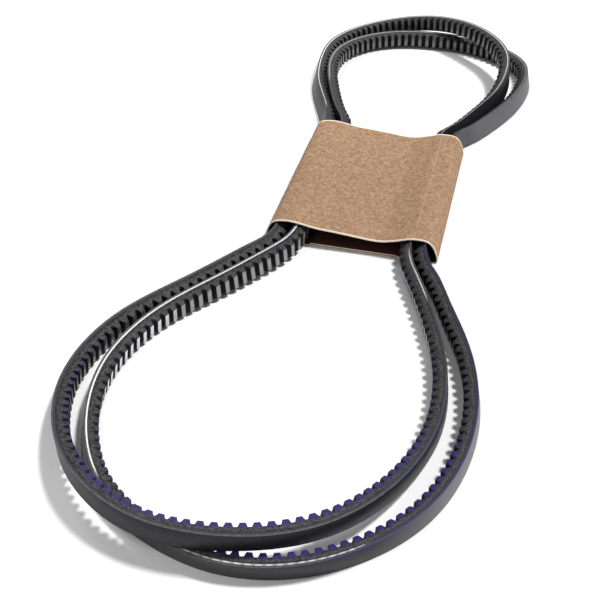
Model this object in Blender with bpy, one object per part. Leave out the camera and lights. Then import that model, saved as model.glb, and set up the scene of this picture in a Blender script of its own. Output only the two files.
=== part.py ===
"""A matched pair of cogged V belts, coiled together and pinched at the middle by a kraft card sleeve.

The origin is the centre of the sleeve's underside, on the floor. +Y runs along the coil from the near
loop to the far loop, +X to the right, and +Z up. Lengths are in metres and leans in degrees.
"""

import math

import bmesh
import bpy
from mathutils import Vector

MM = 0.001

# Belt section: the wide back stands outermost, and the cogs point into the loops.
BACK_WIDTH = 13.0 * MM
TIP_WIDTH = 8.8 * MM
BELT_THICK = 8.0 * MM
COG_DEPTH = 2.5 * MM
COG_COUNT = 216
PLY_THICK = 1.0 * MM
CORD_START = 1.3 * MM
CORD_END = 2.3 * MM
RUBBER_START = 2.6 * MM
PLAIN_STATIONS = 432

# Card sleeve.
CARD_THICK = 0.7 * MM
SLEEVE_LENGTH = 133.0 * MM
GLUE_WIDTH = 16.0 * MM
GLUE_LENGTH = 120.0 * MM
GLUE_LOW = 0.85 * MM
GLUE_HIGH = 1.05 * MM

# Strands inside the sleeve: x of the back's lower edge.
LEFT_OUTER = -50.0
LEFT_INNER = -35.5
RIGHT_INNER = 43.8
RIGHT_OUTER = 52.8

# Route of each belt: x and y of the back's lower edge, height of the belt's lowest corner, and lean.
# A positive lean tips the top of the back towards the inside of the loop.
UPPER_ROUTE = [
    (LEFT_OUTER, 69, 1.0, 16),
    (LEFT_OUTER, 25, 1.0, 15),
    (LEFT_OUTER, -25, 1.0, 15),
    (LEFT_OUTER, -69, 1.2, 15),
    (-60.5, -92.5, 0.9, 11),
    (-83.5, -129.5, 0.8, 6.5),
    (-110, -171, 0.8, 5.5),
    (-120, -217, 1.1, 3.5),
    (-107, -263, 7.1, 0),
    (-79, -299, 13.3, 0),
    (-39, -317.5, 14.0, 0),
    (6.5, -313, 14.0, -9),
    (42, -293.5, 12.2, -8),
    (66.5, -256.5, 6.1, -4),
    (78.5, -212, 1.2, 3.5),
    (76.5, -170, 0.3, 7),
    (66, -132.5, 0.3, 10),
    (51.5, -96, 0.8, 13),
    (RIGHT_INNER, -69, 1.0, 19),
    (RIGHT_INNER, -25, 1.0, 21),
    (RIGHT_INNER, 25, 1.0, 21),
    (43.6, 68, 0.9, 20),
    (52, 87, 0.3, 22),
    (65, 114, 1.2, 24),
    (76.5, 144, 4.8, 19),
    (78, 177, 11.9, 7),
    (65.5, 207, 14.8, -4),
    (39.5, 233.5, 14.8, -8),
    (1.5, 254.5, 8.3, -9.5),
    (-41.5, 248.5, 1.3, -8.5),
    (-70, 214.5, 0.5, -0.5),
    (-76.5, 175, 0.3, 10.5),
    (-72, 137, 0.0, 18.5),
    (-60, 102.5, 0.3, 22),
]
LOWER_ROUTE = [
    (LEFT_INNER, 68, 1.0, 7),
    (LEFT_INNER, 25, 1.0, 8),
    (LEFT_INNER, -25, 1.0, 7.5),
    (LEFT_INNER, -68, 1.0, 3),
    (-44, -93.5, 0.7, -6),
    (-66, -126.5, 0.3, -5.5),
    (-90.5, -161, 0.4, 3.5),
    (-104.5, -202.5, 0.4, 9),
    (-100.5, -246.5, 0.3, 12.5),
    (-80, -285, 0.2, 10),
    (-46.5, -308, 0.1, -4.5),
    (-5.5, -318, 0.1, -13),
    (39, -307, 0.0, -9.5),
    (75, -276, 0.0, -1),
    (93, -235.5, 0.2, 4),
    (96, -191, 0.2, 9.5),
    (86.5, -150, 0.1, 11.5),
    (73, -117.5, 0.2, 13),
    (62, -92, 0.7, 15),
    (RIGHT_OUTER, -69.5, 1.0, 19),
    (RIGHT_OUTER, -25, 1.0, 21),
    (RIGHT_OUTER, 25, 1.0, 21),
    (53.4, 68.5, 0.9, 19),
    (62, 85.5, 0.4, 20.5),
    (76, 111, 0.2, 24),
    (88.5, 142, 0.1, 21),
    (94.5, 177.5, 0.1, 14.5),
    (87, 210, 0.0, 8.5),
    (55.5, 234.5, 0.0, 2.5),
    (12, 243, 0.0, -1.5),
    (-30.5, 233.5, 0.0, -4),
    (-60, 203.5, 0.1, -3),
    (-65, 163.5, 0.4, 0),
    (-55.5, 123, 0.3, 4.5),
    (-44, 91, 0.6, 6.5),
]

# Middle line of the card seen from the near end, from the hidden outer lap end round to the inner one.
CARD_LINE = [
    (29.0, 0.35),
    (-20.0, 0.35),
    (-52.0, 0.35),
    (-53.4, 1.0),
    (-53.6, 2.6),
    (-52.3, 6.8),
    (-51.0, 9.8),
    (-49.5, 12.6),
    (-46.6, 14.7),
    (-41.0, 15.7),
    (-35.5, 15.7),
    (-30.0, 14.8),
    (-20.0, 13.2),
    (-8.0, 12.3),
    (4.0, 11.2),
    (14.0, 10.3),
    (21.0, 10.4),
    (27.0, 11.7),
    (33.0, 13.4),
    (38.0, 14.9),
    (43.0, 15.3),
    (47.0, 15.1),
    (50.0, 14.1),
    (52.4, 11.8),
    (54.2, 8.4),
    (55.4, 5.0),
    (55.8, 2.6),
    (55.6, 1.0),
    (54.2, 0.35),
    (45.0, 0.35),
    (36.0, 0.35),
    (33.0, 0.7),
    (29.5, 1.5),
    (24.0, 1.55),
    (-24.5, 1.55),
]


def clear_scene():
    for obj in list(bpy.data.objects):
        bpy.data.objects.remove(obj, do_unlink=True)


def material(name, colour, roughness):
    made = bpy.data.materials.new(name)
    made.use_nodes = True
    shader = made.node_tree.nodes["Principled BSDF"]
    shader.inputs["Base Color"].default_value = (*colour, 1.0)
    shader.inputs["Roughness"].default_value = roughness
    made.diffuse_color = (*colour, 1.0)
    return made


def spline_controls(route):
    """Controls of the closed cubic B-spline that passes through every point of the route."""
    points = [Vector(p) for p in route]
    controls = [p.copy() for p in points]
    count = len(points)
    for _ in range(60):
        for i in range(count):
            beside = controls[i - 1] + controls[(i + 1) % count]
            controls[i] = (6.0 * points[i] - beside) / 4.0
    return controls


def spline_point(controls, where):
    count = len(controls)
    span = int(where) % count
    t = where - int(where)
    a = controls[span - 1]
    b = controls[span]
    c = controls[(span + 1) % count]
    d = controls[(span + 2) % count]
    weights = ((1 - t) ** 3, 3 * t**3 - 6 * t**2 + 4, -3 * t**3 + 3 * t**2 + 3 * t + 1, t**3)
    return (weights[0] * a + weights[1] * b + weights[2] * c + weights[3] * d) / 6.0


def stations(route, count):
    """Evenly spaced (place, direction, lean) round the closed route, in metres and radians."""
    controls = spline_controls([Vector((x, y, z, lean)) for x, y, z, lean in route])
    steps = 40 * len(route)
    fine = [spline_point(controls, i * len(route) / steps) for i in range(steps)]
    run = [0.0]
    for i in range(steps):
        run.append(run[-1] + (fine[(i + 1) % steps].xyz - fine[i].xyz).length)
    places = []
    at = 0
    for i in range(count):
        wanted = run[-1] * i / count
        while run[at + 1] < wanted:
            at += 1
        share = (wanted - run[at]) / (run[at + 1] - run[at])
        places.append(fine[at].lerp(fine[(at + 1) % steps], share))
    found = []
    for i in range(count):
        ahead = places[(i + 1) % count].xyz - places[i - 1].xyz
        found.append((places[i].xyz * MM, ahead.normalized(), math.radians(places[i].w)))
    return found


def section_frame(place, ahead, lean):
    """Corner of the back's lower edge, the axis across the thickness and the axis up the back."""
    inward = Vector((-ahead.y, ahead.x, 0.0)).normalized()
    upward = ahead.cross(inward)
    deep = inward * math.cos(lean) - upward * math.sin(lean)
    wide = upward * math.cos(lean) + inward * math.sin(lean)
    taper = (BACK_WIDTH - TIP_WIDTH) / 2
    lift = max(0.0, -(deep * BELT_THICK + wide * taper).z)
    resting = Vector((place.x, place.y, max(place.z, 0.0) + lift))
    return resting, deep, wide


def layer_corners(frame, start, end):
    """The four corners of one belt layer, between two depths below the back."""
    corner, deep, wide = frame
    slope = (BACK_WIDTH - TIP_WIDTH) / 2 / BELT_THICK
    return [
        corner + deep * start + wide * (slope * start),
        corner + deep * start + wide * (BACK_WIDTH - slope * start),
        corner + deep * end + wide * (BACK_WIDTH - slope * end),
        corner + deep * end + wide * (slope * end),
    ]


def finish_object(name, mesh_data, look):
    bmesh.ops.recalc_face_normals(mesh_data, faces=mesh_data.faces)
    mesh = bpy.data.meshes.new(name)
    mesh_data.to_mesh(mesh)
    mesh_data.free()
    mesh.materials.append(look)
    obj = bpy.data.objects.new(name, mesh)
    bpy.context.scene.collection.objects.link(obj)
    return obj


def add_ring(name, rings, look):
    """A closed body through rings of corners that come back to the first one."""
    mesh_data = bmesh.new()
    rows = [[mesh_data.verts.new(corner) for corner in ring] for ring in rings]
    sides = len(rows[0])
    for i, row in enumerate(rows):
        following = rows[(i + 1) % len(rows)]
        for j in range(sides):
            k = (j + 1) % sides
            mesh_data.faces.new((row[j], row[k], following[k], following[j]))
    return finish_object(name, mesh_data, look)


def add_plain_layer(name, route, start, end, look):
    frames = [section_frame(*station) for station in stations(route, PLAIN_STATIONS)]
    return add_ring(name, [layer_corners(frame, start, end) for frame in frames], look)


def add_cogs(name, route, look):
    """Compression rubber: one station at each cog tip and one at each groove between cogs."""
    frames = [section_frame(*station) for station in stations(route, 2 * COG_COUNT)]
    rings = []
    for i, frame in enumerate(frames):
        depth = BELT_THICK if i % 2 == 0 else BELT_THICK - COG_DEPTH
        rings.append(layer_corners(frame, RUBBER_START, depth))
    return add_ring(name, rings, look)


def add_belt(name, route, looks):
    add_plain_layer(name + "_back_ply", route, 0.0, PLY_THICK, looks["back"])
    add_plain_layer(name + "_cord_band", route, CORD_START, CORD_END, looks["cord"])
    add_cogs(name + "_cog_rubber", route, looks["rubber"])


def add_sleeve(look):
    """The card strip: its middle line given thickness, then drawn along Y."""
    line = [Vector((x * MM, z * MM)) for x, z in CARD_LINE]
    half = CARD_THICK / 2
    inner = []
    outer = []
    for i, point in enumerate(line):
        before = line[max(i - 1, 0)]
        after = line[min(i + 1, len(line) - 1)]
        first = (point - before).normalized() if i else (after - point).normalized()
        second = (after - point).normalized() if i < len(line) - 1 else first
        side = Vector((-(first + second).y, (first + second).x)).normalized()
        reach = half / max(0.6, side.dot(Vector((-first.y, first.x))))
        outer.append(point + side * reach)
        inner.append(point - side * reach)
    outline = outer + inner[::-1]
    mesh_data = bmesh.new()
    near = [mesh_data.verts.new((p.x, -SLEEVE_LENGTH / 2, p.y)) for p in outline]
    far = [mesh_data.verts.new((p.x, SLEEVE_LENGTH / 2, p.y)) for p in outline]
    count = len(outline)
    for i in range(count):
        j = (i + 1) % count
        mesh_data.faces.new((near[i], near[j], far[j], far[i]))
    points = len(line)
    for i in range(points - 1):
        j = count - 1 - i
        mesh_data.faces.new((near[i], near[i + 1], near[j - 1], near[j]))
        mesh_data.faces.new((far[i], far[j], far[j - 1], far[i + 1]))
    return finish_object("card_sleeve", mesh_data, look)


def add_box(name, low, high, look):
    mesh_data = bmesh.new()
    bmesh.ops.create_cube(mesh_data, size=1.0)
    for vert in mesh_data.verts:
        vert.co = Vector([low[i] + (vert.co[i] + 0.5) * (high[i] - low[i]) for i in range(3)])
    return finish_object(name, mesh_data, look)


clear_scene()
looks = {
    "back": material("back_rubber", (0.06, 0.06, 0.068), 0.5),
    "cord": material("tensile_cord", (0.62, 0.58, 0.50), 0.7),
    "rubber": material("cog_rubber", (0.035, 0.035, 0.04), 0.6),
}
card = material("kraft_card", (0.46, 0.30, 0.18), 0.85)
glue = material("dried_glue", (0.70, 0.66, 0.55), 0.4)

add_belt("upper", UPPER_ROUTE, looks)
add_belt("lower", LOWER_ROUTE, looks)
add_sleeve(card)
half_glue = GLUE_WIDTH / 2
half_long = GLUE_LENGTH / 2
add_box("glue_line", (-half_glue, -half_long, GLUE_LOW), (half_glue, half_long, GLUE_HIGH), glue)
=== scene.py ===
"""Looks for a coiled pair of cogged V belts in a kraft card sleeve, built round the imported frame."""

import math

import bpy
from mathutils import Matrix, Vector


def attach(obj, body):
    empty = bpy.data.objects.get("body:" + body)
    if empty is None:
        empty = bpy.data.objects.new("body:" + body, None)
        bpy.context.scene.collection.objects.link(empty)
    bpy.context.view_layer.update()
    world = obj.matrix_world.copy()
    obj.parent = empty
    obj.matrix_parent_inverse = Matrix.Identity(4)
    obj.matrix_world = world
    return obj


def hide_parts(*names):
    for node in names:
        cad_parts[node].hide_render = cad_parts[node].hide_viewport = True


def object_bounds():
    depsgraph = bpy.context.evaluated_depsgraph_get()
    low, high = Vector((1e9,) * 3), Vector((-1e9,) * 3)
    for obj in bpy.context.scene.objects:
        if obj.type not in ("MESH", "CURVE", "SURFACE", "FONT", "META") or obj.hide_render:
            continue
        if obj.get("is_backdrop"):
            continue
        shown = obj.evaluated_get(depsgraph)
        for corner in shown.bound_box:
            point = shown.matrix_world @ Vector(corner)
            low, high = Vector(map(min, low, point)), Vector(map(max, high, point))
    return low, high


MM = 0.001

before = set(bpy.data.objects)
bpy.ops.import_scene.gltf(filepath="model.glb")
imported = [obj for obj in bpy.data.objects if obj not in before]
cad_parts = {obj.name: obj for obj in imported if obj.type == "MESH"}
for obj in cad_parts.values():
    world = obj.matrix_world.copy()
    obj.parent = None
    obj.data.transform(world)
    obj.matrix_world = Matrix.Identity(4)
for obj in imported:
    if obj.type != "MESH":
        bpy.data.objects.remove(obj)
size_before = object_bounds()

# Belt section, in metres from the back and from the belt's lower side.
BACK_WIDTH = 13.0 * MM
TIP_WIDTH = 8.8 * MM
BELT_THICK = 8.0 * MM
COG_DEPTH = 2.5 * MM
COG_COUNT = 216
COG_STEPS = 14
PLY_END = 1.05 * MM
CORD_START = 1.12 * MM
CORD_END = 1.95 * MM
RUBBER_START = 2.02 * MM
PLAIN_STATIONS = 900
BACK_EDGE_ROUNDING = 0.35 * MM
CORD_INSET = 0.06 * MM
COG_BEVEL = 0.3 * MM
NOTCH_MARGIN = 0.2 * MM
# Band below the notch line over which the painted violet sheen fades in.
NOTCH_SHADE = 0.9 * MM
# A cog's flat tip and its foot, as shares of half a pitch from the tip's centre.
COG_TIP_END = 0.42
COG_FOOT = 0.72
# Rows above this share of a cog's height count as its tip.
TIP_SHARE = 0.75

# Where the cord doesn't show it is nearly black. Beads are every third row, seen fainter.
CORD_HIDDEN = 0.03
CORD_FADE = 0.006
BEAD_EVERY = 3
BEAD_LEVEL = 0.35
# How quickly the painted reflection on the backs fades in and out along a belt.
SHEEN_FADE = 0.04

# Where each belt's strand lies in the sleeve, in mm.
LEFT_OUTER = -50.0
LEFT_INNER = -35.5
RIGHT_INNER = 43.8
RIGHT_OUTER = 52.8

# x and y of the back's lower edge, height of the lowest corner (mm), and lean (degrees).
UPPER_ROUTE = [
    (LEFT_OUTER, 69, 1.0, 16),
    (LEFT_OUTER, 25, 1.0, 15),
    (LEFT_OUTER, -25, 1.0, 15),
    (LEFT_OUTER, -69, 1.2, 15),
    (-60.5, -92.5, 0.9, 11),
    (-83.5, -129.5, 0.8, 6.5),
    (-110, -171, 0.8, 5.5),
    (-120, -217, 1.1, 3.5),
    (-107, -263, 7.1, 0),
    (-79, -299, 13.3, 0),
    (-39, -317.5, 14.0, 0),
    (6.5, -313, 14.0, -9),
    (42, -293.5, 12.2, -8),
    (66.5, -256.5, 6.1, -4),
    (78.5, -212, 1.2, 3.5),
    (76.5, -170, 0.3, 7),
    (66, -132.5, 0.3, 10),
    (51.5, -96, 0.8, 13),
    (RIGHT_INNER, -69, 1.0, 19),
    (RIGHT_INNER, -25, 1.0, 21),
    (RIGHT_INNER, 25, 1.0, 21),
    (43.6, 68, 0.9, 20),
    (52, 87, 0.3, 22),
    (65, 114, 1.2, 24),
    (76.5, 144, 4.8, 19),
    (78, 177, 11.9, 7),
    (65.5, 207, 14.8, -4),
    (39.5, 233.5, 14.8, -8),
    (1.5, 254.5, 8.3, -9.5),
    (-41.5, 248.5, 1.3, -8.5),
    (-70, 214.5, 0.5, -0.5),
    (-76.5, 175, 0.3, 10.5),
    (-72, 137, 0.0, 18.5),
    (-60, 102.5, 0.3, 22),
]
LOWER_ROUTE = [
    (LEFT_INNER, 68, 1.0, 7),
    (LEFT_INNER, 25, 1.0, 8),
    (LEFT_INNER, -25, 1.0, 7.5),
    (LEFT_INNER, -68, 1.0, 3),
    (-44, -93.5, 0.7, -6),
    (-66, -126.5, 0.3, -5.5),
    (-90.5, -161, 0.4, 3.5),
    (-104.5, -202.5, 0.4, 9),
    (-100.5, -246.5, 0.3, 12.5),
    (-80, -285, 0.2, 10),
    (-46.5, -308, 0.1, -4.5),
    (-5.5, -318, 0.1, -13),
    (39, -307, 0.0, -9.5),
    (75, -276, 0.0, -1),
    (93, -235.5, 0.2, 4),
    (96, -191, 0.2, 9.5),
    (86.5, -150, 0.1, 11.5),
    (73, -117.5, 0.2, 13),
    (62, -92, 0.7, 15),
    (RIGHT_OUTER, -69.5, 1.0, 19),
    (RIGHT_OUTER, -25, 1.0, 21),
    (RIGHT_OUTER, 25, 1.0, 21),
    (53.4, 68.5, 0.9, 19),
    (62, 85.5, 0.4, 20.5),
    (76, 111, 0.2, 24),
    (88.5, 142, 0.1, 21),
    (94.5, 177.5, 0.1, 14.5),
    (87, 210, 0.0, 8.5),
    (55.5, 234.5, 0.0, 2.5),
    (12, 243, 0.0, -1.5),
    (-30.5, 233.5, 0.0, -4),
    (-60, 203.5, 0.1, -3),
    (-65, 163.5, 0.4, 0),
    (-55.5, 123, 0.3, 4.5),
    (-44, 91, 0.6, 6.5),
]

CARD_THICK = 0.7 * MM
SLEEVE_LENGTH = 133.0 * MM
# A lighter line along a crease on top of the card, near the right-hand bundle.
CREASE_X = 40.3 * MM
CREASE_HALF_WIDTH = 0.4 * MM
CREASE_LIGHTENING = 0.25
CARD_LIP = 1.2 * MM
CARD_ROWS = 48
CARD_STEPS = 6
# Middle line of the card seen from the near end, in mm, from the hidden outer lap end to the inner one.
CARD_LINE = [
    (29.0, 0.35),
    (-20.0, 0.35),
    (-52.0, 0.35),
    (-53.4, 1.0),
    (-53.6, 2.6),
    (-52.3, 6.8),
    (-51.0, 9.8),
    (-49.5, 12.6),
    (-46.6, 14.7),
    (-41.0, 15.7),
    (-35.5, 15.7),
    (-30.0, 14.8),
    (-20.0, 13.2),
    (-8.0, 12.3),
    (4.0, 11.2),
    (14.0, 10.3),
    (21.0, 10.4),
    (27.0, 11.7),
    (33.0, 13.4),
    (38.0, 14.9),
    (43.0, 15.3),
    (47.0, 15.1),
    (50.0, 14.1),
    (52.4, 11.8),
    (54.2, 8.4),
    (55.4, 5.0),
    (55.8, 2.6),
    (55.6, 1.0),
    (54.2, 0.35),
    (45.0, 0.35),
    (36.0, 0.35),
    (33.0, 0.7),
    (29.5, 1.5),
    (24.0, 1.55),
    (-24.5, 1.55),
]


# ---------------------------------------------------------------- materials


def new_material(name):
    made = bpy.data.materials.new(name)
    made.use_nodes = True
    tree = made.node_tree
    return made, tree, tree.nodes["Principled BSDF"]


def add_node(tree, kind, **settings):
    node = tree.nodes.new(kind)
    for key, value in settings.items():
        setattr(node, key, value)
    return node


def noise(tree, scale, detail=4.0, rough=0.6):
    where = add_node(tree, "ShaderNodeTexCoord")
    made = add_node(tree, "ShaderNodeTexNoise")
    made.inputs["Scale"].default_value = scale
    made.inputs["Detail"].default_value = detail
    made.inputs["Roughness"].default_value = rough
    tree.links.new(where.outputs["Object"], made.inputs["Vector"])
    return made.outputs["Fac"]


def ramp(tree, factor, stops):
    made = add_node(tree, "ShaderNodeValToRGB")
    band = made.color_ramp
    band.elements[0].position, band.elements[0].color = stops[0][0], (*stops[0][1], 1)
    band.elements[1].position, band.elements[1].color = stops[-1][0], (*stops[-1][1], 1)
    for place, colour in stops[1:-1]:
        element = band.elements.new(place)
        element.color = (*colour, 1)
    tree.links.new(factor, made.inputs["Fac"])
    return made.outputs["Color"]


def attribute(tree, name):
    """How much a look shows at each point, as the mesh itself holds it."""
    return add_node(tree, "ShaderNodeAttribute", attribute_name=name).outputs["Fac"]


def calculate(tree, operation, first, second=None):
    """A Math node on a socket and, where it takes one, a number."""
    made = add_node(tree, "ShaderNodeMath", operation=operation)
    tree.links.new(first, made.inputs[0])
    if second is not None:
        made.inputs[1].default_value = second
    return made.outputs["Value"]


def mix_colours(tree, amount, under, over):
    """Lays one colour over another by an amount. Each colour is a socket or plain RGB."""
    made = add_node(tree, "ShaderNodeMixRGB")
    tree.links.new(amount, made.inputs["Fac"])
    for place, colour in (("Color1", under), ("Color2", over)):
        if isinstance(colour, tuple):
            made.inputs[place].default_value = (*colour, 1)
        else:
            tree.links.new(colour, made.inputs[place])
    return made.outputs["Color"]


def add_bump(tree, shader, height, distance):
    made = add_node(tree, "ShaderNodeBump")
    made.inputs["Distance"].default_value = distance
    tree.links.new(height, made.inputs["Height"])
    tree.links.new(made.outputs["Normal"], shader.inputs["Normal"])


def rubber(name, dark, light, scale, roughness, bump, specular=0.5, tint=None, source="tint"):
    """Grained rubber. With a tint, the mesh's own attribute says how much of it shows."""
    made, tree, shader = new_material(name)
    colour = ramp(tree, noise(tree, scale), [(0.40, dark), (0.60, light)])
    if tint:
        colour = mix_colours(tree, attribute(tree, source), colour, tint)
    tree.links.new(colour, shader.inputs["Base Color"])
    shader.inputs["Roughness"].default_value = roughness
    shader.inputs["Specular IOR Level"].default_value = specular
    add_bump(tree, shader, noise(tree, scale * 1.6), bump)
    return made


# Blue-violet: the cut rubber's slight violet cast, laid on as a painted sheen only where the strands face the
# front and the right.
VIOLET_SHEEN = (0.032, 0.020, 0.135)
# Painted highlight: near white laid on the cog tips' faces where they catch the light.
TIP_HIGHLIGHT = (0.75, 0.75, 0.76)
# Painted reflection: lighter grey laid on the belt backs where they face the light at the right.
SHEEN = (0.15, 0.15, 0.16)
BACK = rubber(
    "belt back", (0.006, 0.006, 0.008), (0.014, 0.014, 0.017), 700, 0.45, 0.00004, 0.2, SHEEN, "sheen"
)
RIM = rubber("back edge", (0.050, 0.050, 0.062), (0.085, 0.085, 0.100), 500, 0.5, 0.00002, 0.5, VIOLET_SHEEN)
FLANK = rubber("cut flank", (0.002, 0.002, 0.003), (0.060, 0.060, 0.062), 900, 0.6, 0.00025, 0.4, VIOLET_SHEEN)
COG_SIDE = rubber(
    "cog side", (0.002, 0.002, 0.003), (0.056, 0.056, 0.058), 900, 0.6, 0.0002, 0.4, VIOLET_SHEEN
)
TIP = rubber(
    "cog tip", (0.045, 0.045, 0.048), (0.120, 0.120, 0.125), 1100, 0.30, 0.00004, 0.9, TIP_HIGHLIGHT
)
# The groove floors between cogs are near-black: painted shade in the grooves.
GROOVE = rubber("cog groove", (0.004, 0.004, 0.005), (0.012, 0.012, 0.014), 900, 0.7, 0.00005, 0.2)


def make_cord():
    made, tree, shader = new_material("tensile cord")
    pale = ramp(tree, noise(tree, 1400), [(0.35, (0.62, 0.55, 0.47)), (0.6, (0.95, 0.93, 0.90))])
    colour = mix_colours(tree, attribute(tree, "shown"), (0.015, 0.015, 0.017), pale)
    tree.links.new(colour, shader.inputs["Base Color"])
    shader.inputs["Roughness"].default_value = 0.75
    add_bump(tree, shader, noise(tree, 2500), 0.00008)
    return made


CORD = make_cord()


def make_card():
    made, tree, shader = new_material("kraft card")
    mottle = ramp(
        tree,
        noise(tree, 420, 10, 0.80),
        [(0.38, (0.235, 0.134, 0.072)), (0.50, (0.358, 0.222, 0.131)), (0.62, (0.500, 0.326, 0.212))],
    )
    where = add_node(tree, "ShaderNodeTexCoord")
    split = add_node(tree, "ShaderNodeSeparateXYZ")
    tree.links.new(where.outputs["Object"], split.inputs["Vector"])
    away = calculate(tree, "ABSOLUTE", calculate(tree, "SUBTRACT", split.outputs["X"], CREASE_X))
    on_crease = calculate(tree, "LESS_THAN", away, CREASE_HALF_WIDTH)
    crease_light = calculate(tree, "MULTIPLY", on_crease, CREASE_LIGHTENING)
    colour = mix_colours(tree, crease_light, mottle, (0.60, 0.43, 0.30))
    tree.links.new(colour, shader.inputs["Base Color"])
    shader.inputs["Roughness"].default_value = 0.85
    shader.inputs["Specular IOR Level"].default_value = 0.25
    add_bump(tree, shader, noise(tree, 900, 6, 0.7), 0.00015)
    return made


def plain(name, colour, roughness, specular=0.3, scale=800):
    made, tree, shader = new_material(name)
    low = tuple(c * 0.88 for c in colour)
    tree.links.new(ramp(tree, noise(tree, scale), [(0.35, low), (0.65, colour)]), shader.inputs["Base Color"])
    shader.inputs["Roughness"].default_value = roughness
    shader.inputs["Specular IOR Level"].default_value = specular
    return made


CARD = make_card()
CARD_EDGE = plain("card cut edge", (0.95, 0.80, 0.66), 0.9)
CARD_INSIDE = plain("card inside", (0.110, 0.050, 0.040), 0.9, 0.1)
GLUE = plain("dried glue", (0.70, 0.66, 0.55), 0.4)


# ---------------------------------------------------------------- belt route

SPLINE_PASSES = 60
FINE_STEPS = 40
# A station's heading is taken over one part in this many of the belt, on each side.
HEADING_PARTS = 400


def spline_controls(points):
    """Control points of the closed cubic spline that runs through the given points."""
    controls = [p.copy() for p in points]
    count = len(points)
    for _ in range(SPLINE_PASSES):
        for i in range(count):
            controls[i] = (6.0 * points[i] - controls[i - 1] - controls[(i + 1) % count]) / 4.0
    return controls


def spline_point(controls, where):
    count = len(controls)
    span = int(where) % count
    t = where - int(where)
    a, b = controls[span - 1], controls[span]
    c, d = controls[(span + 1) % count], controls[(span + 2) % count]
    return (
        (1 - t) ** 3 * a
        + (3 * t**3 - 6 * t**2 + 4) * b
        + (-3 * t**3 + 3 * t**2 + 3 * t + 1) * c
        + t**3 * d
    ) / 6.0


def stations(route, count):
    """Evenly spaced places along a route, each with its heading and lean."""
    controls = spline_controls([Vector(p) for p in route])
    steps = FINE_STEPS * len(route)
    fine = [spline_point(controls, i * len(route) / steps) for i in range(steps)]
    run = [0.0]
    for i in range(steps):
        run.append(run[-1] + (fine[(i + 1) % steps].xyz - fine[i].xyz).length)
    places = []
    at = 0
    for i in range(count):
        wanted = run[-1] * i / count
        while run[at + 1] < wanted:
            at += 1
        share = (wanted - run[at]) / (run[at + 1] - run[at])
        places.append(fine[at].lerp(fine[(at + 1) % steps], share))
    reach = max(1, count // HEADING_PARTS)
    found = []
    for i in range(count):
        ahead = places[(i + reach) % count].xyz - places[i - reach].xyz
        found.append((places[i].xyz * MM, ahead.normalized(), math.radians(places[i].w)))
    return found


def section_frame(place, ahead, lean):
    """The back's lower corner, and the directions across the belt's thickness and its width."""
    inward = Vector((-ahead.y, ahead.x, 0.0)).normalized()
    upward = ahead.cross(inward)
    deep = inward * math.cos(lean) - upward * math.sin(lean)
    wide = upward * math.cos(lean) + inward * math.sin(lean)
    taper = (BACK_WIDTH - TIP_WIDTH) / 2
    lift = max(0.0, -(deep * BELT_THICK + wide * taper).z)
    return Vector((place.x, place.y, max(place.z, 0.0) + lift)), deep, wide


SLOPE = (BACK_WIDTH - TIP_WIDTH) / 2 / BELT_THICK


def at(section, depth, inset, top):
    """A point of the section: depth from the back, inset from the flank, on the top or bottom side."""
    corner, deep, wide = section
    low = SLOPE * depth + inset
    height = BACK_WIDTH - low if top else low
    return corner + deep * depth + wide * height


def link(name, verts, faces, materials, indices):
    mesh = bpy.data.meshes.new(name)
    mesh.from_pydata(verts, [], faces)
    for m in materials:
        mesh.materials.append(m)
    mesh.polygons.foreach_set("material_index", indices)
    mesh.polygons.foreach_set("use_smooth", [True] * len(faces))
    mesh.update()
    obj = bpy.data.objects.new(name, mesh)
    bpy.context.scene.collection.objects.link(obj)
    return obj


def ring(name, rows, materials, column_material):
    """Closed tube through rows of points. column_material gives each column's material slot."""
    sides = len(rows[0])
    verts = [p for row in rows for p in row]
    faces = []
    indices = []
    for i in range(len(rows)):
        n = (i + 1) % len(rows)
        for j in range(sides):
            k = (j + 1) % sides
            faces.append((i * sides + j, n * sides + j, n * sides + k, i * sides + k))
            indices.append(column_material(i, j))
    return link(name, verts, faces, materials, indices)


def cog_depth(phase):
    """Depth of the belt at a place within one cog pitch, 0 to 1, with the tip centred on 0.5."""
    away = abs(phase - 0.5) * 2.0
    if away < COG_TIP_END:
        share = 1.0
    elif away > COG_FOOT:
        share = 0.0
    else:
        t = (away - COG_TIP_END) / (COG_FOOT - COG_TIP_END)
        share = 1.0 - t * t * (3 - 2 * t)
    return BELT_THICK - COG_DEPTH * (1.0 - share), share


def set_values(obj, name, values):
    """Gives the mesh a value at each point, which a material reads by this name."""
    made = obj.data.attributes.new(name, "FLOAT", "POINT")
    made.data.foreach_set("value", values)


def in_spans(here, spans, fade=0.015):
    """How strongly a place along the route, 0 to 1, lies inside any of the (start, end, strength) spans."""
    level = 0.0
    for start, end, strength in spans:
        if start <= here <= end:
            level = max(level, strength * min(1.0, min(here - start, end - here) / fade))
    return level


def add_ply(name, sections, spans):
    round_off = BACK_EDGE_ROUNDING
    halfway = round_off * 0.3
    rows = [
        [
            at(section, PLY_END, 0, False),
            at(section, round_off, 0, False),
            at(section, halfway, halfway, False),
            at(section, 0, round_off, False),
            at(section, 0, round_off, True),
            at(section, halfway, halfway, True),
            at(section, round_off, 0, True),
            at(section, PLY_END, 0, True),
        ]
        for section in sections
    ]
    ply = ring(name + ".back", rows, [BACK, RIM], lambda i, j: 0 if j in (1, 2, 3) else 1)
    tint = []
    sheen = []
    for i in range(len(rows)):
        here = i / len(rows)
        level = in_spans(here, spans["edge"])
        tint += [0.0, 0.0, 0.0, 0.0, level, level, level, 0.4 * level]
        # Painted reflection on the backs, by place along the belt.
        sheen += [in_spans(here, spans["sheen"], SHEEN_FADE)] * 8
    set_values(ply, "tint", tint)
    set_values(ply, "sheen", sheen)
    return ply


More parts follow.
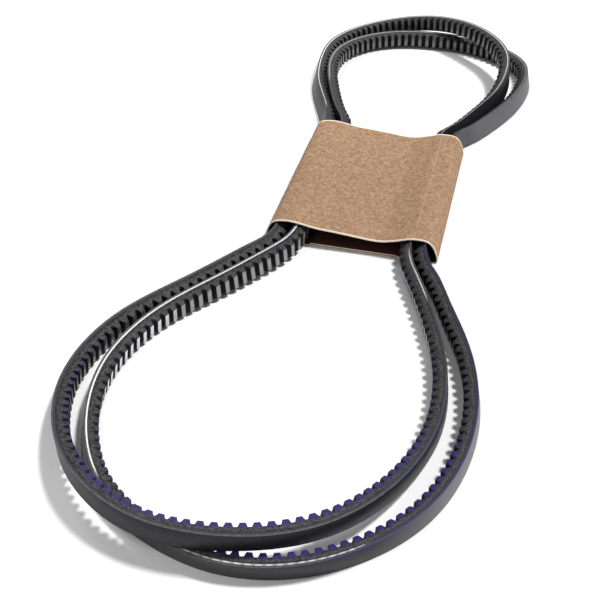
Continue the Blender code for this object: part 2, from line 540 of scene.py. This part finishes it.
def cord_shown(i, here, spans):
    """How plainly the cut cord shows at a row. Its beads are fainter rows between plain ones."""
    value = CORD_HIDDEN
    for start, end, level, beads in spans:
        if start <= here <= end:
            edge = min(here - start, end - here) / CORD_FADE
            value = max(value, level * min(1.0, edge))
            if beads and i % BEAD_EVERY == 0:
                value *= BEAD_LEVEL
    return value


def add_cord(name, sections, spans):
    rows = [
        [
            at(section, CORD_END, CORD_INSET, False),
            at(section, CORD_START, CORD_INSET, False),
            at(section, CORD_START, CORD_INSET, True),
            at(section, CORD_END, CORD_INSET, True),
        ]
        for section in sections
    ]
    cord = ring(name + ".cord", rows, [CORD], lambda i, j: 0)
    shown = []
    for i in range(len(rows)):
        shown += [cord_shown(i, i / len(rows), spans["cord"])] * 4
    set_values(cord, "shown", shown)
    return cord


def add_cogs(name, route, spans):
    line = BELT_THICK - COG_DEPTH - NOTCH_MARGIN
    rows = []
    shares = []
    for i, station in enumerate(stations(route, COG_COUNT * COG_STEPS)):
        section = section_frame(*station)
        depth, share = cog_depth((i % COG_STEPS) / COG_STEPS)
        shares.append(share)
        rows.append(
            [
                at(section, RUBBER_START, 0, False),
                at(section, line - NOTCH_SHADE, 0, False),
                at(section, line, 0, False),
                at(section, depth - COG_BEVEL, 0, False),
                at(section, depth, COG_BEVEL, False),
                at(section, depth, COG_BEVEL, True),
                at(section, depth - COG_BEVEL, 0, True),
                at(section, line, 0, True),
                at(section, line - NOTCH_SHADE, 0, True),
                at(section, RUBBER_START, 0, True),
            ]
        )

    def column(i, j):
        if j == 4:
            return 2 if min(shares[i], shares[(i + 1) % len(shares)]) > TIP_SHARE else 3
        if j in (2, 3, 5, 6):
            return 1
        return 0

    cogs = ring(name + ".cogs", rows, [FLANK, COG_SIDE, TIP, GROOVE], column)
    tint = []
    for i, share in enumerate(shares):
        here = i / len(shares)
        foot = in_spans(here, spans["cog"])
        rim = max(foot, in_spans(here, spans["crest"]) * share**3)
        # How much painted highlight lies on the tip faces, strongest on the flat tip.
        face = in_spans(here, spans["face"]) * share
        tint += [0.0, 0.1 * foot, 0.9 * foot, rim, face, face, rim, 0.9 * foot, 0.1 * foot, 0.0]
    set_values(cogs, "tint", tint)
    return cogs


def add_belt(name, route, spans):
    sections = [section_frame(*station) for station in stations(route, PLAIN_STATIONS)]
    ply = add_ply(name, sections, spans)
    cord = add_cord(name, sections, spans)
    cogs = add_cogs(name, route, spans)
    for obj in (ply, cord, cogs):
        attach(obj, "belts")
    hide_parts(name + "_back_ply")
    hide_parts(name + "_cord_band")
    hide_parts(name + "_cog_rubber")


# Where along each belt a look shows, as fractions of its route from the first point. "face" is the painted
# highlight on the cog tips, "sheen" the painted reflection on the backs, and "cog", "crest" and "edge" carry
# the painted violet sheen.
add_belt(
    "upper",
    UPPER_ROUTE,
    {
        "cord": [(0.52, 0.558, 0.7, False), (0.66, 0.985, 0.75, False)],
        "cog": [(0.28, 0.45, 1.0)],
        "crest": [(0.20, 0.31, 0.7), (0.43, 0.50, 0.5)],
        "edge": [(0.40, 0.47, 0.5)],
        "face": [(0.48, 0.56, 1.0)],
        "sheen": [(0.56, 0.66, 0.4)],
    },
)
add_belt(
    "lower",
    LOWER_ROUTE,
    {
        "cord": [
            (0.085, 0.28, 1.0, False),
            (0.315, 0.385, 0.8, True),
            (0.70, 0.95, 0.35, False),
            (0.81, 0.835, 1.0, False),
        ],
        "cog": [(0.30, 0.45, 1.0)],
        "crest": [(0.24, 0.31, 0.5), (0.43, 0.50, 0.4), (0.74, 0.86, 0.5)],
        "edge": [(0.36, 0.57, 1.0), (0.09, 0.14, 0.6)],
        "face": [(0.09, 0.18, 0.25), (0.165, 0.245, 0.8)],
        "sheen": [(0.26, 0.44, 0.12), (0.38, 0.52, 1.0), (0.64, 0.80, 0.8)],
    },
)


# ---------------------------------------------------------------- sleeve


def smooth_line(points, per):
    """Catmull-Rom through the card's middle line."""
    out = []
    for i in range(len(points) - 1):
        a = Vector(points[max(i - 1, 0)])
        b = Vector(points[i])
        c = Vector(points[i + 1])
        d = Vector(points[min(i + 2, len(points) - 1)])
        for s in range(per):
            t = s / per
            out.append(
                0.5
                * (2 * b + (c - a) * t + (2 * a - 5 * b + 4 * c - d) * t * t + (3 * b - a - 3 * c + d) * t**3)
            )
    out.append(Vector(points[-1]))
    return out


def add_sleeve():
    """The card strip, with its cut edges pale and its inner side dark."""
    line = smooth_line(CARD_LINE, CARD_STEPS)
    half = CARD_THICK / 2
    inner_length = SLEEVE_LENGTH - 2 * CARD_LIP
    along = [-inner_length / 2 + inner_length * i / CARD_ROWS for i in range(CARD_ROWS + 1)]
    along = [-SLEEVE_LENGTH / 2, *along, SLEEVE_LENGTH / 2]
    verts = []
    faces = []
    indices = []
    count = len(line)
    for y in along:
        for side in (1, -1):
            for i, p in enumerate(line):
                ahead = (line[min(i + 1, count - 1)] - line[max(i - 1, 0)]).normalized()
                out = Vector((-ahead.y, ahead.x))
                q = p * MM + out * half * side
                verts.append((q.x, y, q.y))
    stride = 2 * count

    def put(face, slot):
        faces.append(face)
        indices.append(slot)

    last = len(along) - 1
    for r in range(last):
        for i in range(count - 1):
            a = r * stride + i
            b = a + stride
            put((a, a + 1, b + 1, b), 1 if r in (0, last - 1) else 0)
            put((a + count, b + count, b + count + 1, a + count + 1), 2)
        for i, flip in ((0, False), (count - 1, True)):
            a = r * stride + i
            b = a + stride
            face = (a, b, b + count, a + count)
            put(face[::-1] if flip else face, 1)
    for i in range(count - 1):
        put((i, i + count, i + 1 + count, i + 1), 1)
        e = last * stride + i
        put((e, e + 1, e + 1 + count, e + count), 1)
    obj = link("sleeve.card", verts, faces, [CARD, CARD_EDGE, CARD_INSIDE], indices)
    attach(obj, "sleeve")
    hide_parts("card_sleeve")


add_sleeve()

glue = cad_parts["glue_line"]
glue.data.materials.clear()
glue.data.materials.append(GLUE)

# ---------------------------------------------------------------- floor, light, camera

FLOOR_REACH = 12.0
WORLD_STRENGTH = 0.24
LAMP_RADIUS = 0.06
CAMERA_PLACE = (0.0957, -0.5739, 0.3734)
CAMERA_TILT = 51.31
CAMERA_TURN = 14.01
CAMERA_LENS = 60.9


def make_floor():
    mesh = bpy.data.meshes.new("floor")
    far = FLOOR_REACH
    mesh.from_pydata([(-far, -far, 0), (far, -far, 0), (far, far, 0), (-far, far, 0)], [], [(0, 1, 2, 3)])
    floor = bpy.data.objects.new("floor", mesh)
    bpy.context.scene.collection.objects.link(floor)
    made, tree, shader = new_material("white floor")
    shader.inputs["Base Color"].default_value = (0.9, 0.9, 0.9, 1)
    shader.inputs["Roughness"].default_value = 0.9
    shader.inputs["Specular IOR Level"].default_value = 0.1
    mesh.materials.append(made)
    floor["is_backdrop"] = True


make_floor()

world = bpy.data.worlds.new("studio")
bpy.context.scene.world = world
world.use_nodes = True
world.node_tree.nodes["Background"].inputs["Color"].default_value = (1.0, 1.0, 1.0, 1)
world.node_tree.nodes["Background"].inputs["Strength"].default_value = WORLD_STRENGTH


def add_sun(name, energy, degrees, towards):
    data = bpy.data.lights.new(name, "SUN")
    data.energy = energy
    data.angle = math.radians(degrees)
    sun = bpy.data.objects.new(name, data)
    bpy.context.scene.collection.objects.link(sun)
    sun.rotation_euler = Vector(towards).to_track_quat("Z", "Y").to_euler()


add_sun("key", 3.1, 9, (0.43, 0.19, 1.0))
add_sun("fill", 0.3, 12, (-0.5, 0.6, 1.0))


def add_spot(name, energy, degrees, place, aim):
    data = bpy.data.lights.new(name, "SPOT")
    data.energy = energy
    data.spot_size = math.radians(degrees)
    data.spot_blend = 1.0
    data.shadow_soft_size = LAMP_RADIUS
    spot = bpy.data.objects.new(name, data)
    bpy.context.scene.collection.objects.link(spot)
    spot.location = place
    spot.rotation_euler = (Vector(place) - Vector(aim)).to_track_quat("Z", "Y").to_euler()


add_spot("near left", 1.8, 60, (-0.15, -0.45, 0.32), (-0.09, -0.29, 0.0))
add_spot("far left", 4.5, 50, (-0.26, 0.26, 0.35), (-0.10, 0.19, 0.0))

camera_data = bpy.data.cameras.new("camera")
camera_data.lens = CAMERA_LENS
camera_data.sensor_width = 36.0
camera_data.clip_start = 0.01
camera = bpy.data.objects.new("camera", camera_data)
bpy.context.scene.collection.objects.link(camera)
camera.location = CAMERA_PLACE
camera.rotation_euler = (math.radians(CAMERA_TILT), 0.0, math.radians(CAMERA_TURN))
bpy.context.scene.camera = camera
bpy.context.scene.view_settings.view_transform = "Standard"

size_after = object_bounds()


def plain_lists(value):
    if isinstance(value, dict):
        return {key_: plain_lists(item) for key_, item in value.items()}
    if isinstance(value, (str, int, float)) or value is None:
        return value
    return [plain_lists(item) for item in value]


{"before": plain_lists(size_before), "after": plain_lists(size_after)}
